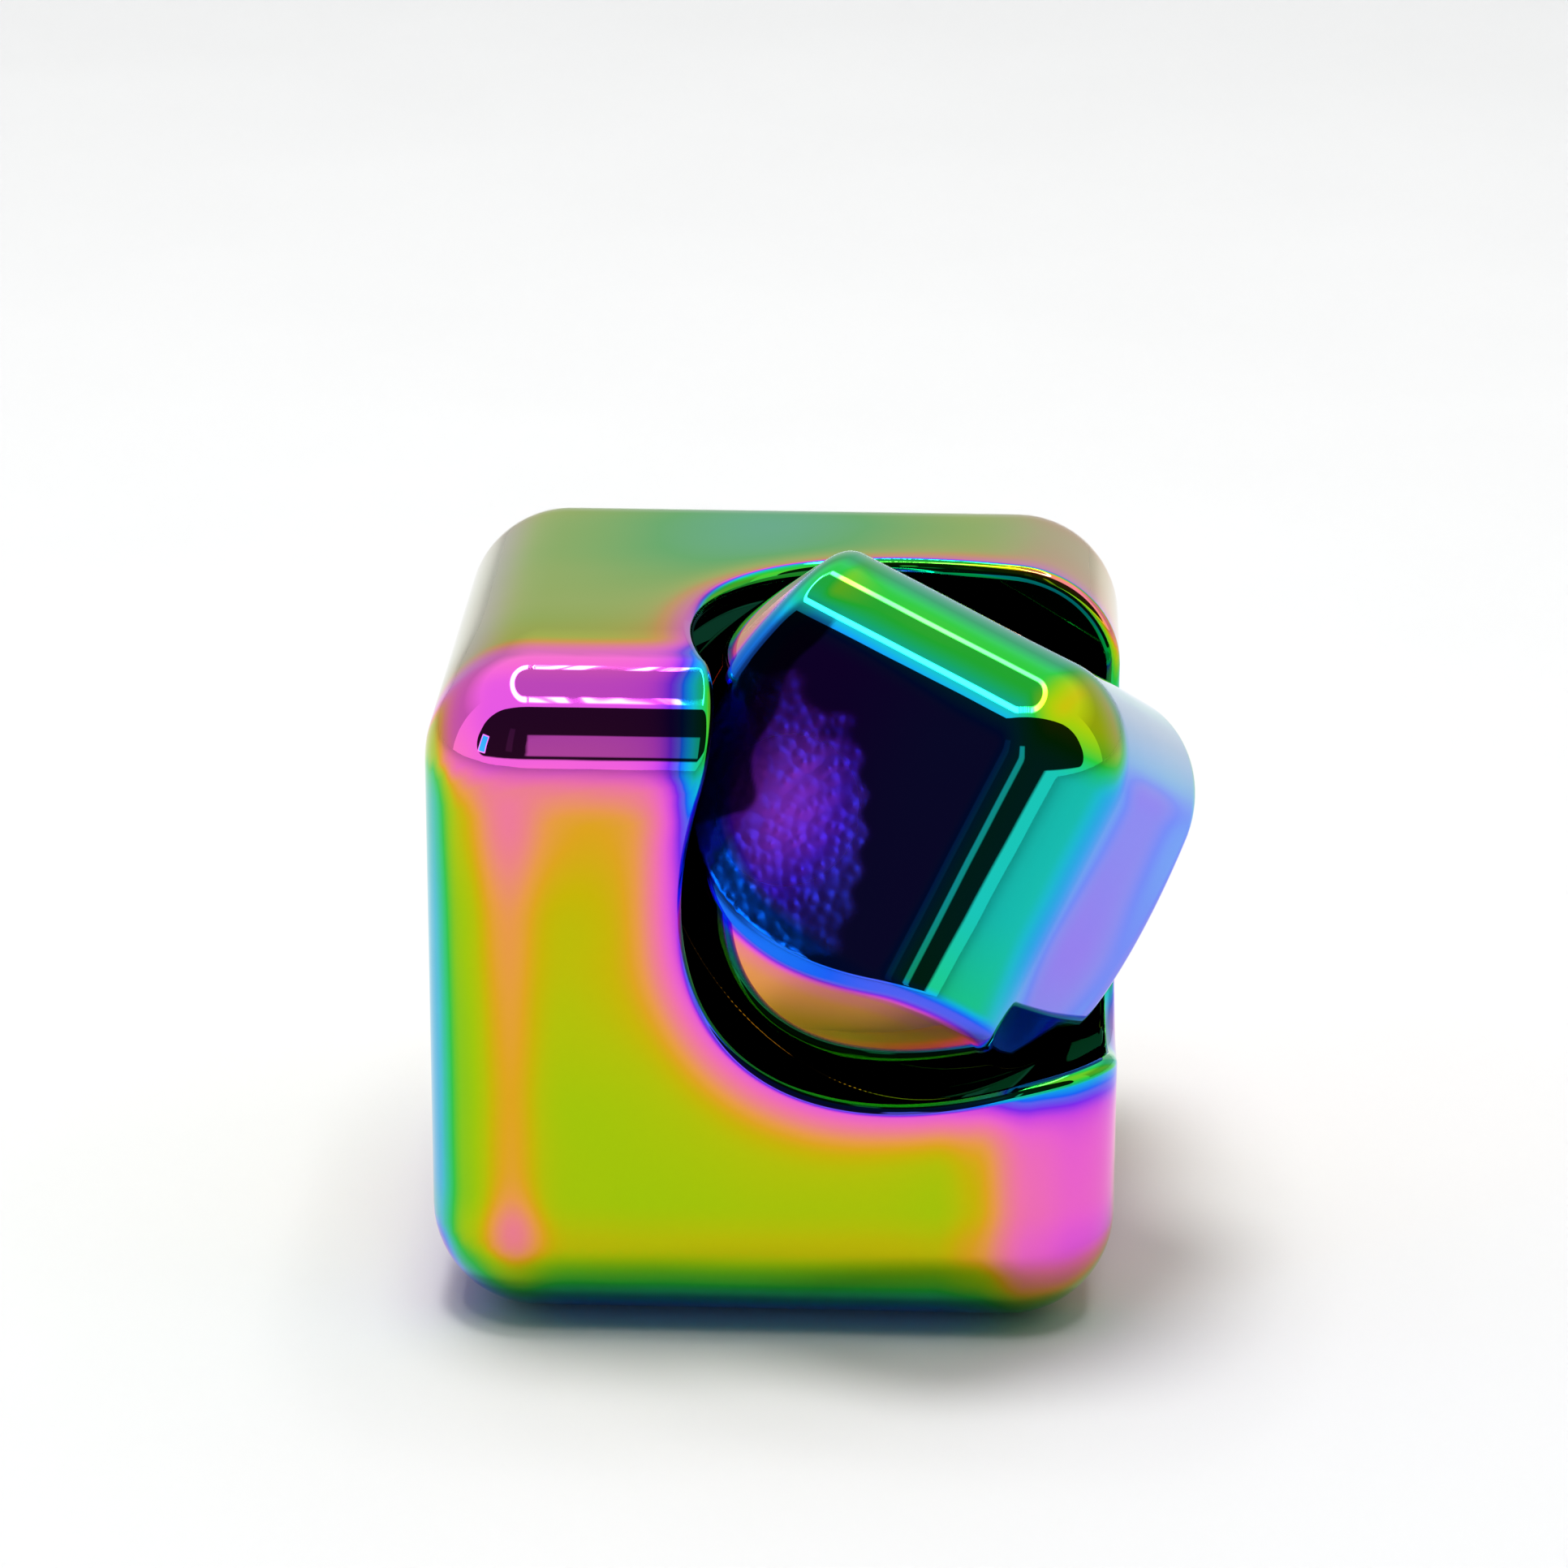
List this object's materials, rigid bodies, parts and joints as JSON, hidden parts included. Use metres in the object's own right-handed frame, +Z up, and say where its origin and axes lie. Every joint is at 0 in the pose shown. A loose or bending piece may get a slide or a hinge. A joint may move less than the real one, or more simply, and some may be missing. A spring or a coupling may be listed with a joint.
{
  "type": "corner spinner fidget cube",
  "caption": "Pocket-size rounded metal cube, mirror polished with a rainbow film, whose top front right corner spins about the body diagonal on a hidden ball bearing.",
  "frame": {"origin": "centre of the flat base face that the cube rests on", "axes": "+Z up out of the base, +X to the right and -Y to the front, with the spinning corner at +X, -Y, +Z"},
  "size_m": [0.0301, 0.0301, 0.0301],
  "materials": {
    "iridescent_coat": "polished",
    "zinc_plated_steel": "satin",
    "bearing_steel": "polished",
    "stamped_steel": "polished",
    "cage_nylon": "matte"
  },
  "bodies": {
    "cube": {"cube_body": "iridescent_coat", "bearing_outer_race": "bearing_steel", "front_shield": "stamped_steel", "rear_shield": "stamped_steel", "front_snap_ring": "stamped_steel", "rear_snap_ring": "stamped_steel"},
    "spinner": {"corner_spinner": "iridescent_coat", "axle_pin": "zinc_plated_steel", "bearing_inner_race": "bearing_steel", "clamp_washer": "zinc_plated_steel", "clamp_screw": "zinc_plated_steel"},
    "cage": {"ball_cage": "cage_nylon"},
    "ball_01_body": {"ball_01": "bearing_steel"},
    "ball_02_body": {"ball_02": "bearing_steel"},
    "ball_03_body": {"ball_03": "bearing_steel"},
    "ball_04_body": {"ball_04": "bearing_steel"},
    "ball_05_body": {"ball_05": "bearing_steel"},
    "ball_06_body": {"ball_06": "bearing_steel"},
    "ball_07_body": {"ball_07": "bearing_steel"},
    "ball_08_body": {"ball_08": "bearing_steel"},
    "ball_09_body": {"ball_09": "bearing_steel"},
    "ball_10_body": {"ball_10": "bearing_steel"}
  },
  "joints": [
    {"name": "spinner_spin", "type": "hinge", "parent": "cube", "child": "spinner", "pos_m": [0.0015, -0.0015, 0.015], "axis": [0.5774, -0.5774, 0.5774], "continuous": true},
    {"name": "cage_orbit", "type": "hinge", "parent": "cube", "child": "cage", "pos_m": [0.0015, -0.0015, 0.015], "axis": [0.5774, -0.5774, 0.5774], "continuous": true},
    {"name": "ball_01_spin", "type": "hinge", "parent": "cage", "child": "ball_01_body", "pos_m": [0.0025, -0.00425, 0.01124], "axis": [0.5774, -0.5774, 0.5774], "continuous": true},
    {"name": "ball_02_spin", "type": "hinge", "parent": "cage", "child": "ball_02_body", "pos_m": [0.00452, -0.0021, 0.01137], "axis": [0.5774, -0.5774, 0.5774], "continuous": true},
    {"name": "ball_03_spin", "type": "hinge", "parent": "cage", "child": "ball_03_body", "pos_m": [0.00538, 0.00027, 0.01288], "axis": [0.5774, -0.5774, 0.5774], "continuous": true},
    {"name": "ball_04_spin", "type": "hinge", "parent": "cage", "child": "ball_04_body", "pos_m": [0.00476, 0.00197, 0.0152], "axis": [0.5774, -0.5774, 0.5774], "continuous": true},
    {"name": "ball_05_spin", "type": "hinge", "parent": "cage", "child": "ball_05_body", "pos_m": [0.00289, 0.00234, 0.01744], "axis": [0.5774, -0.5774, 0.5774], "continuous": true},
    {"name": "ball_06_spin", "type": "hinge", "parent": "cage", "child": "ball_06_body", "pos_m": [0.00049, 0.00125, 0.01875], "axis": [0.5774, -0.5774, 0.5774], "continuous": true},
    {"name": "ball_07_spin", "type": "hinge", "parent": "cage", "child": "ball_07_body", "pos_m": [-0.00153, -0.00089, 0.01863], "axis": [0.5774, -0.5774, 0.5774], "continuous": true},
    {"name": "ball_08_spin", "type": "hinge", "parent": "cage", "child": "ball_08_body", "pos_m": [-0.00239, -0.00326, 0.01711], "axis": [0.5774, -0.5774, 0.5774], "continuous": true},
    {"name": "ball_09_spin", "type": "hinge", "parent": "cage", "child": "ball_09_body", "pos_m": [-0.00177, -0.00496, 0.01479], "axis": [0.5774, -0.5774, 0.5774], "continuous": true},
    {"name": "ball_10_spin", "type": "hinge", "parent": "cage", "child": "ball_10_body", "pos_m": [0.0001, -0.00534, 0.01255], "axis": [0.5774, -0.5774, 0.5774], "continuous": true}
  ],
  "couplings": [
    {"joint": "cage_orbit", "follows": "spinner_spin", "ratio": 0.41667},
    {"joint": "ball_01_spin", "follows": "spinner_spin", "ratio": -2.9167},
    {"joint": "ball_02_spin", "follows": "spinner_spin", "ratio": -2.9167},
    {"joint": "ball_03_spin", "follows": "spinner_spin", "ratio": -2.9167},
    {"joint": "ball_04_spin", "follows": "spinner_spin", "ratio": -2.9167},
    {"joint": "ball_05_spin", "follows": "spinner_spin", "ratio": -2.9167},
    {"joint": "ball_06_spin", "follows": "spinner_spin", "ratio": -2.9167},
    {"joint": "ball_07_spin", "follows": "spinner_spin", "ratio": -2.9167},
    {"joint": "ball_08_spin", "follows": "spinner_spin", "ratio": -2.9167},
    {"joint": "ball_09_spin", "follows": "spinner_spin", "ratio": -2.9167},
    {"joint": "ball_10_spin", "follows": "spinner_spin", "ratio": -2.9167}
  ]
}
